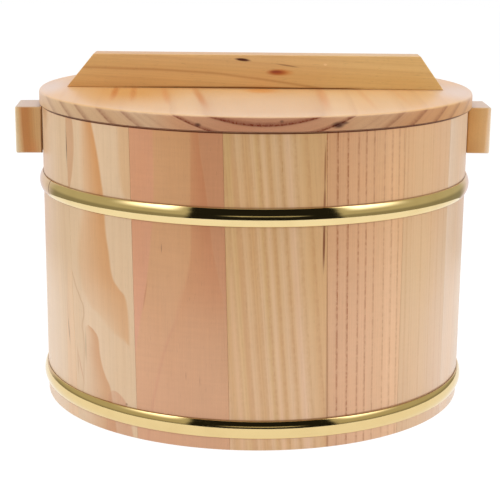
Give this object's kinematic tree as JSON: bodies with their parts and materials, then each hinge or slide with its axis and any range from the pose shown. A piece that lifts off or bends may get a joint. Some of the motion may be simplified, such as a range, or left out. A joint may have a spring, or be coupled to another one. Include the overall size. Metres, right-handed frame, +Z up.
{
  "type": "wooden rice steamer",
  "caption": "Round coopered wooden rice steamer: staves in two brass hoops, block side handles, a lift-out slatted grate and a flat lid with a bar handle.",
  "frame": {"origin": "middle of the foot, on the surface that the barrel stands on", "axes": "+Z up, +X through the right side handle and along the lid's bar, -Y to the pictured side"},
  "size_m": [0.3117, 0.2854, 0.2241],
  "materials": {
    "stave_fir": "bare planed fir, silky, each stave its own tone",
    "hoop_brass": "mirror polished",
    "handle_block_wood": "bare sanded wood, ochre",
    "handle_bar_wood": "bare sanded wood, ochre, grain along the bar",
    "lid_fir": "bare planed fir, flat sawn",
    "grate_fir": "bare sawn fir",
    "peg_bamboo": "bare bamboo",
    "screw_steel": "stainless",
    "nail_steel": "stainless"
  },
  "bodies": {
    "barrel": {"stave_01": "stave_fir", "stave_02": "stave_fir", "stave_03": "stave_fir", "stave_04": "stave_fir", "stave_05": "stave_fir", "stave_06": "stave_fir", "stave_07": "stave_fir", "stave_08": "stave_fir", "stave_09": "stave_fir", "stave_10": "stave_fir", "stave_11": "stave_fir", "stave_12": "stave_fir", "stave_13": "stave_fir", "stave_14": "stave_fir", "stave_15": "stave_fir", "stave_16": "stave_fir", "hoop_lower": "hoop_brass", "hoop_upper": "hoop_brass", "side_handle_left": "handle_block_wood", "side_handle_right": "handle_block_wood", "side_handle_screw_left_lower": "screw_steel", "side_handle_screw_left_upper": "screw_steel", "side_handle_screw_right_lower": "screw_steel", "side_handle_screw_right_upper": "screw_steel", "grate_peg_1": "peg_bamboo", "grate_peg_2": "peg_bamboo", "grate_peg_3": "peg_bamboo", "grate_peg_4": "peg_bamboo"},
    "lid": {"lid_board": "lid_fir", "lid_handle": "handle_bar_wood", "lid_screw_1": "screw_steel", "lid_screw_2": "screw_steel", "lid_screw_3": "screw_steel"},
    "grate": {"grate_batten_front": "grate_fir", "grate_batten_back": "grate_fir", "grate_slat_1": "grate_fir", "grate_slat_2": "grate_fir", "grate_slat_3": "grate_fir", "grate_slat_4": "grate_fir", "grate_slat_5": "grate_fir", "grate_slat_6": "grate_fir", "grate_slat_7": "grate_fir", "grate_slat_8": "grate_fir", "grate_nail_01": "nail_steel", "grate_nail_02": "nail_steel", "grate_nail_03": "nail_steel", "grate_nail_04": "nail_steel", "grate_nail_05": "nail_steel", "grate_nail_06": "nail_steel", "grate_nail_07": "nail_steel", "grate_nail_08": "nail_steel", "grate_nail_09": "nail_steel", "grate_nail_10": "nail_steel", "grate_nail_11": "nail_steel", "grate_nail_12": "nail_steel", "grate_nail_13": "nail_steel", "grate_nail_14": "nail_steel", "grate_nail_15": "nail_steel", "grate_nail_16": "nail_steel"}
  },
  "joints": [
    {"name": "lid_lift", "type": "slide", "parent": "barrel", "child": "lid", "axis": [0, 0, 1], "range_m": [0, 0.12]},
    {"name": "grate_lift", "type": "slide", "parent": "barrel", "child": "grate", "axis": [0, 0, 1], "range_m": [0, 0.135]}
  ]
}
